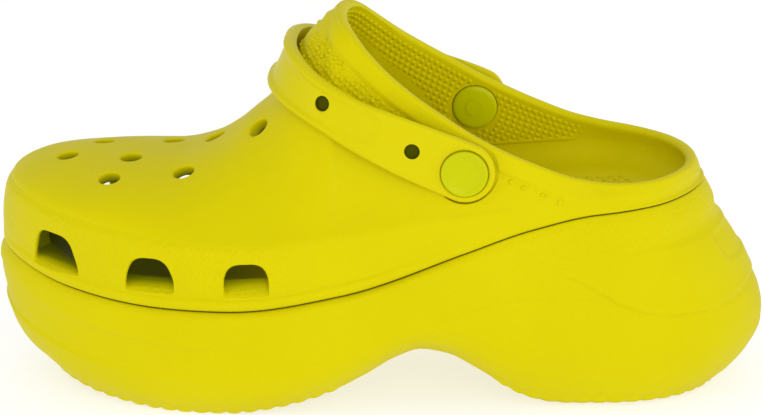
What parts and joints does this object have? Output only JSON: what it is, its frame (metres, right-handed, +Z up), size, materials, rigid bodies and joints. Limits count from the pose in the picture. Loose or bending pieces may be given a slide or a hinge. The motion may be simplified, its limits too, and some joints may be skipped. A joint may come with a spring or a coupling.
{
  "type": "platform foam clog",
  "caption": "Left platform clog in moulded foam: vented closed toe, open heel, thick arched sole and a heel strap that pivots on two rivets.",
  "frame": {"origin": "on the ground plane under the centre of the clog's bounding box", "axes": "+Z up, +X from toe to heel, +Y to the inner (medial) side of the foot"},
  "size_m": [0.2776, 0.1065, 0.1381],
  "materials": {
    "upper_foam": "satin, soft moulded foam",
    "sole_foam": "satin, soft moulded foam",
    "strap_foam": "satin, slightly smoother than the upper",
    "rivet_plastic": "semi-gloss moulded plastic"
  },
  "bodies": {
    "clog": {"clog_shell": "upper_foam", "platform_sole": "sole_foam", "rivet_cap_lateral": "rivet_plastic", "rivet_cap_medial": "rivet_plastic", "rivet_washer_lateral": "rivet_plastic", "rivet_washer_medial": "rivet_plastic"},
    "strap": {"heel_strap": "strap_foam"}
  },
  "joints": [
    {"name": "strap_pivot", "type": "hinge", "parent": "clog", "child": "strap", "pos_m": [0.034, 0, 0.0902], "axis": [0, 1, 0], "range_deg": [0, 140]}
  ]
}
